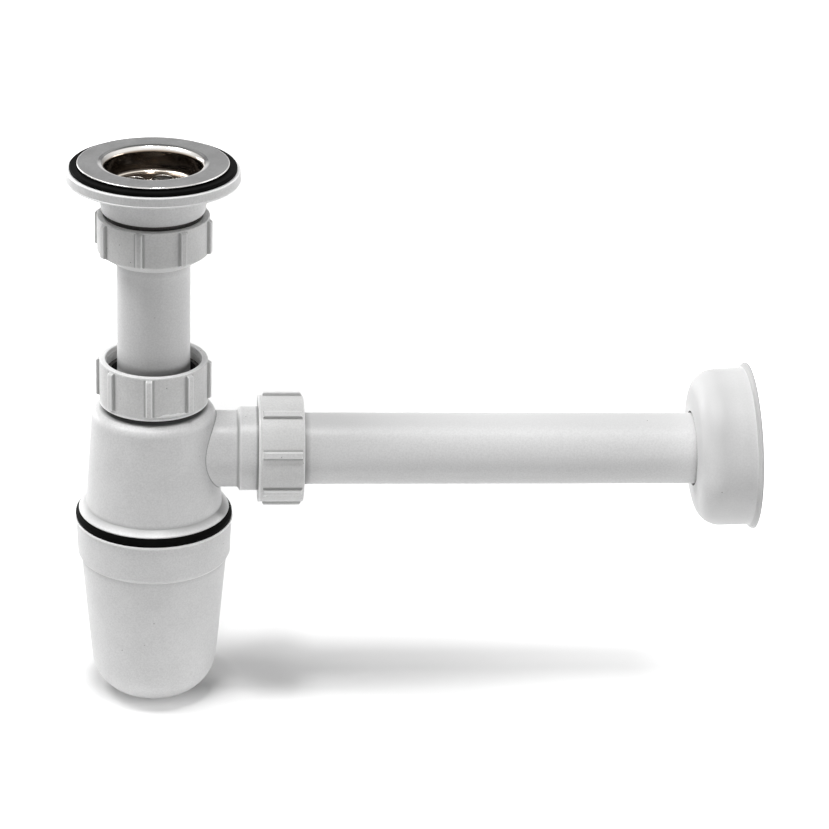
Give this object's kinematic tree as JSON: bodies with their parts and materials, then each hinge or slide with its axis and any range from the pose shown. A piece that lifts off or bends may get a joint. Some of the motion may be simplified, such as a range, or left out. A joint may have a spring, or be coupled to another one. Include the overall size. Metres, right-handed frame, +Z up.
{
  "type": "bottle trap",
  "caption": "Basin bottle trap: strainer and waste on a telescopic inlet pipe, bottle body with screwed cup, straight outlet pipe with ribbed nuts and a wall rosette.",
  "frame": {"origin": "on the bottle axis, in the plane of the waste flange's upper face, at the middle of the strainer recess's mouth", "axes": "+Z up along the bottle axis, +X along the outlet pipe to the wall, +Y away from the picture's camera"},
  "size_m": [0.3077, 0.0752, 0.2547],
  "materials": {
    "steel": "pressed sheet, satin flange and polished recess",
    "screw_steel": "turned, satin",
    "brass": "turned",
    "gasket_rubber": "moulded, soft sheen",
    "seal_rubber": "moulded, matt",
    "white_plastic": "moulded, satin white",
    "pipe_plastic": "drawn, satin white",
    "ring_plastic": "matt white",
    "rosette_plastic": "formed, glossy white"
  },
  "bodies": {
    "waste": {"waste_body": "white_plastic", "basin_gasket": "gasket_rubber", "screw_insert": "brass"},
    "strainer": {"strainer": "steel", "strainer_seal": "seal_rubber"},
    "strainer_screw": {"strainer_screw": "screw_steel"},
    "waste_seal": {"waste_seal": "seal_rubber"},
    "waste_nut": {"waste_nut": "white_plastic"},
    "inlet_pipe": {"inlet_pipe": "pipe_plastic"},
    "trap_body": {"trap_body": "white_plastic", "inlet_seal": "seal_rubber", "outlet_seal": "seal_rubber"},
    "inlet_slip_ring": {"inlet_slip_ring": "ring_plastic"},
    "inlet_nut": {"inlet_nut": "white_plastic"},
    "cup_seal": {"cup_seal": "gasket_rubber"},
    "cup": {"cup": "white_plastic"},
    "outlet_slip_ring": {"outlet_slip_ring": "ring_plastic"},
    "outlet_nut": {"outlet_nut": "white_plastic"},
    "outlet_pipe": {"outlet_pipe": "pipe_plastic"},
    "rosette": {"rosette": "rosette_plastic"}
  },
  "joints": [
    {"name": "strainer_lift", "type": "slide", "parent": "waste", "child": "strainer", "axis": [0, 0, 1], "range_m": [0, 0.012]},
    {"name": "screw_turn", "type": "hinge", "parent": "strainer", "child": "strainer_screw", "pos_m": [0, 0, -0.0085], "axis": [0, 0, 1], "range_deg": [0, 4320]},
    {"name": "waste_nut_travel", "type": "slide", "parent": "waste", "child": "waste_seal", "axis": [0, 0, -1], "range_m": [0, 0.00924]},
    {"name": "waste_nut_turn", "type": "hinge", "parent": "waste_seal", "child": "waste_nut", "pos_m": [0, 0, -0.03], "axis": [0, 0, -1], "range_deg": [0, 1440]},
    {"name": "inlet_swivel", "type": "hinge", "parent": "waste_seal", "child": "inlet_pipe", "pos_m": [0, 0, -0.0355], "axis": [0, 0, 1], "continuous": true},
    {"name": "body_height", "type": "slide", "parent": "inlet_pipe", "child": "trap_body", "axis": [0, 0, 1], "range_m": [-0.02, 0.032]},
    {"name": "inlet_nut_travel", "type": "slide", "parent": "trap_body", "child": "inlet_slip_ring", "axis": [0, 0, 1], "range_m": [0, 0.00693]},
    {"name": "inlet_nut_turn", "type": "hinge", "parent": "inlet_slip_ring", "child": "inlet_nut", "pos_m": [0, 0, -0.0976], "axis": [0, 0, 1], "range_deg": [0, 1080]},
    {"name": "cup_travel", "type": "slide", "parent": "trap_body", "child": "cup_seal", "axis": [0, 0, -1], "range_m": [0, 0.009]},
    {"name": "cup_turn", "type": "hinge", "parent": "cup_seal", "child": "cup", "pos_m": [0, 0, -0.1634], "axis": [0, 0, -1], "range_deg": [0, 1080]},
    {"name": "outlet_nut_travel", "type": "slide", "parent": "trap_body", "child": "outlet_slip_ring", "axis": [1, 0, 0], "range_m": [0, 0.00693]},
    {"name": "outlet_nut_turn", "type": "hinge", "parent": "outlet_slip_ring", "child": "outlet_nut", "pos_m": [0.0563, 0, -0.1316], "axis": [1, 0, 0], "range_deg": [0, 1080]},
    {"name": "outlet_pipe_slide", "type": "slide", "parent": "trap_body", "child": "outlet_pipe", "axis": [1, 0, 0], "range_m": [-0.002, 0.012]},
    {"name": "rosette_slide", "type": "slide", "parent": "outlet_pipe", "child": "rosette", "axis": [1, 0, 0], "range_m": [-0.165, 0.014]}
  ],
  "couplings": [
    {"joint": "screw_turn", "follows": "strainer_lift", "rad_per_m": 6283.2},
    {"joint": "waste_nut_travel", "follows": "waste_nut_turn", "m_per_rad": 0.00036749},
    {"joint": "inlet_nut_travel", "follows": "inlet_nut_turn", "m_per_rad": 0.00036749},
    {"joint": "cup_travel", "follows": "cup_turn", "m_per_rad": 0.00047746},
    {"joint": "outlet_nut_travel", "follows": "outlet_nut_turn", "m_per_rad": 0.00036749}
  ]
}
